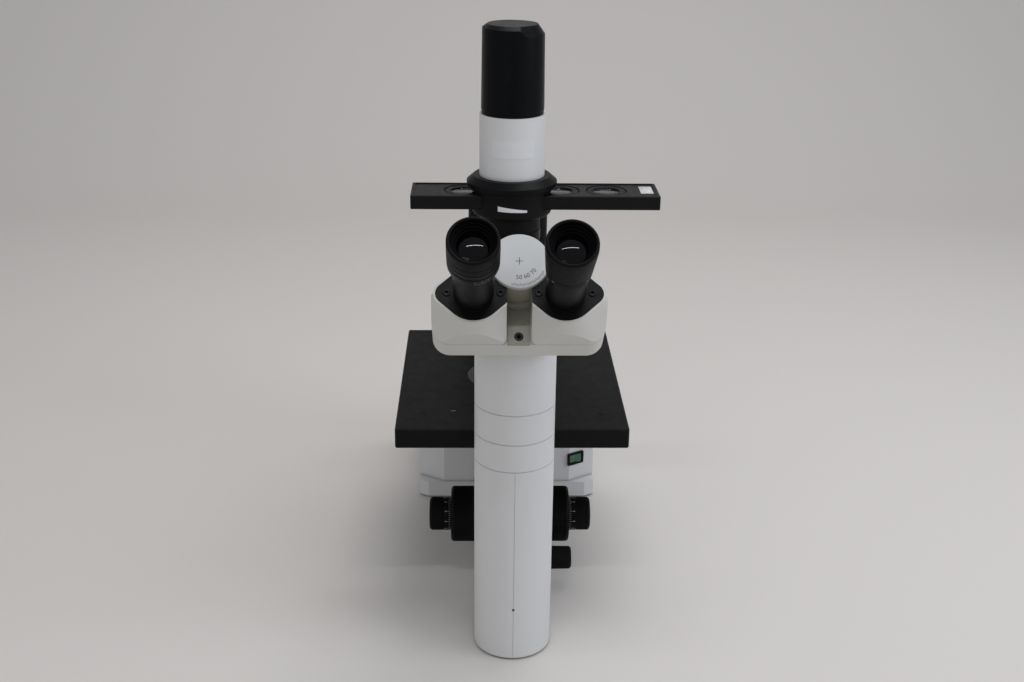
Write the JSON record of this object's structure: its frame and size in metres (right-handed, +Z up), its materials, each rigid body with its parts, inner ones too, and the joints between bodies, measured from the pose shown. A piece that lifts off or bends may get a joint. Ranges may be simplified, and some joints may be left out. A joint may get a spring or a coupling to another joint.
{
  "type": "inverted microscope",
  "caption": "Inverted laboratory microscope with a slim front column, binocular head, fixed stage, rear lamp arm and phase slider.",
  "frame": {"origin": "on the bench, straight below the optical axis through the middle of the stage", "axes": "+Z up along the optical axis, +Y from the eyepieces towards the rear body, +X to the user's right"},
  "size_m": [0.2433, 0.5718, 0.5204],
  "materials": {
    "white_cover": "satin white moulded cover",
    "white_enamel": "satin white enamel on cast aluminium",
    "black_enamel": "fine textured black enamel on cast aluminium",
    "black_plastic": "moulded black plastic",
    "bare_aluminium": "matt anodised",
    "bright_steel": "turned and polished",
    "lens_glass": "coated optical glass",
    "mirror_glass": "front surface mirror",
    "green_lens": "translucent green rocker",
    "foot_rubber": "matt rubber",
    "supply_case": "folded sheet case with the board inside it"
  },
  "bodies": {
    "stand": {"base_pan": "white_enamel", "collector_lens": "lens_glass", "column_badge_ring": "white_cover", "column_core": "bare_aluminium", "column_cover_left": "white_cover", "column_cover_right": "white_cover", "column_spacer_ring": "white_cover", "column_top": "white_enamel", "condenser_barrel": "black_enamel", "condenser_lens": "lens_glass", "focus_pillar": "black_enamel", "fold_mirrors": "mirror_glass", "halogen_lamp": "lens_glass", "head_base": "white_enamel", "head_hub": "bare_aluminium", "head_prisms": "lens_glass", "illumination_arm": "black_enamel", "illumination_column": "black_enamel", "interpupillary_dial": "white_enamel", "lamp_cap": "black_plastic", "lamp_flange": "black_enamel", "lamp_socket": "black_plastic", "lamp_tube": "white_enamel", "light_control": "black_plastic", "power_inlet": "black_plastic", "power_supply": "supply_case", "rear_housing": "white_enamel", "rear_panel": "black_enamel", "rubber_feet": "foot_rubber", "slider_housing": "black_enamel", "spine_housing": "white_enamel", "stage_insert": "bare_aluminium", "stage_plate": "black_enamel", "stage_rear_block": "black_enamel", "switch_frame": "black_plastic", "tube_lens": "bare_aluminium"},
    "rocker": {"power_rocker": "green_lens"},
    "brightness": {"brightness_knob": "black_plastic"},
    "coarse": {"coarse_shaft": "bright_steel", "coarse_knob_left": "black_plastic", "coarse_knob_right": "black_plastic"},
    "fine": {"fine_shaft": "bright_steel", "fine_knob_left": "black_plastic", "fine_knob_right": "black_plastic"},
    "nosepiece": {"nosepiece_carriage": "bare_aluminium"},
    "turret": {"turret": "bare_aluminium", "objectives": "bright_steel"},
    "slider": {"phase_slider": "black_enamel", "phase_rings": "lens_glass"},
    "aperture": {"aperture_lever": "black_plastic"},
    "wing_left": {"wing_left": "white_enamel", "eyepiece_tube_left": "black_enamel", "eyepiece_left": "black_plastic"},
    "diopter": {"diopter_ring": "black_plastic"},
    "ocular_left": {"eyepiece_top_left": "black_plastic", "eye_lens_left": "lens_glass"},
    "wing_right": {"wing_right": "white_enamel", "eyepiece_tube_right": "black_enamel", "eyepiece_right": "black_plastic", "eye_lens_right": "lens_glass"}
  },
  "joints": [
    {"name": "power_switch", "type": "hinge", "parent": "stand", "child": "rocker", "pos_m": [0.07291, 0.08553, 0.045], "axis": [0, 0, 1], "range_deg": [0, 20]},
    {"name": "brightness_turn", "type": "hinge", "parent": "stand", "child": "brightness", "pos_m": [0.045, -0.117, 0.0407], "axis": [1, 0, 0], "range_deg": [-135, 135]},
    {"name": "coarse_focus", "type": "hinge", "parent": "stand", "child": "coarse", "pos_m": [0, -0.065, 0.059], "axis": [1, 0, 0], "range_deg": [-66.9, 19.2]},
    {"name": "fine_focus", "type": "hinge", "parent": "stand", "child": "fine", "pos_m": [0, -0.065, 0.059], "axis": [1, 0, 0], "continuous": true},
    {"name": "nosepiece_slide", "type": "slide", "parent": "stand", "child": "nosepiece", "axis": [0, 0, 1], "range_m": [-0.007, 0.002]},
    {"name": "turret_turn", "type": "hinge", "parent": "nosepiece", "child": "turret", "pos_m": [0, 0, 0.04127], "axis": [0, -0.2588, 0.9659], "continuous": true},
    {"name": "slider_shift", "type": "slide", "parent": "stand", "child": "slider", "axis": [1, 0, 0], "range_m": [-0.0888, 0.0444]},
    {"name": "aperture_turn", "type": "hinge", "parent": "stand", "child": "aperture", "pos_m": [0, 0, 0.3265], "axis": [0, 0, 1], "range_deg": [-40, 40]},
    {"name": "wing_left_swing", "type": "hinge", "parent": "stand", "child": "wing_left", "pos_m": [0, -0.1885, 0.3135], "axis": [0, -0.7071, 0.7071], "range_deg": [-8, 10]},
    {"name": "wing_right_swing", "type": "hinge", "parent": "stand", "child": "wing_right", "pos_m": [0, -0.1885, 0.3135], "axis": [0, -0.7071, 0.7071], "range_deg": [-10, 8]},
    {"name": "diopter_turn", "type": "hinge", "parent": "wing_left", "child": "diopter", "pos_m": [-0.0343, -0.31246, 0.40168], "axis": [0, -0.7071, 0.7071], "range_deg": [0, 180]},
    {"name": "ocular_slide", "type": "slide", "parent": "wing_left", "child": "ocular_left", "axis": [0, -0.7071, 0.7071], "range_m": [0, 0.0025]}
  ],
  "couplings": [
    {"joint": "coarse_focus", "follows": "nosepiece_slide", "rad_per_m": 166.67},
    {"joint": "wing_right_swing", "follows": "wing_left_swing", "ratio": -1},
    {"joint": "ocular_slide", "follows": "diopter_turn", "m_per_rad": 0.000795}
  ]
}
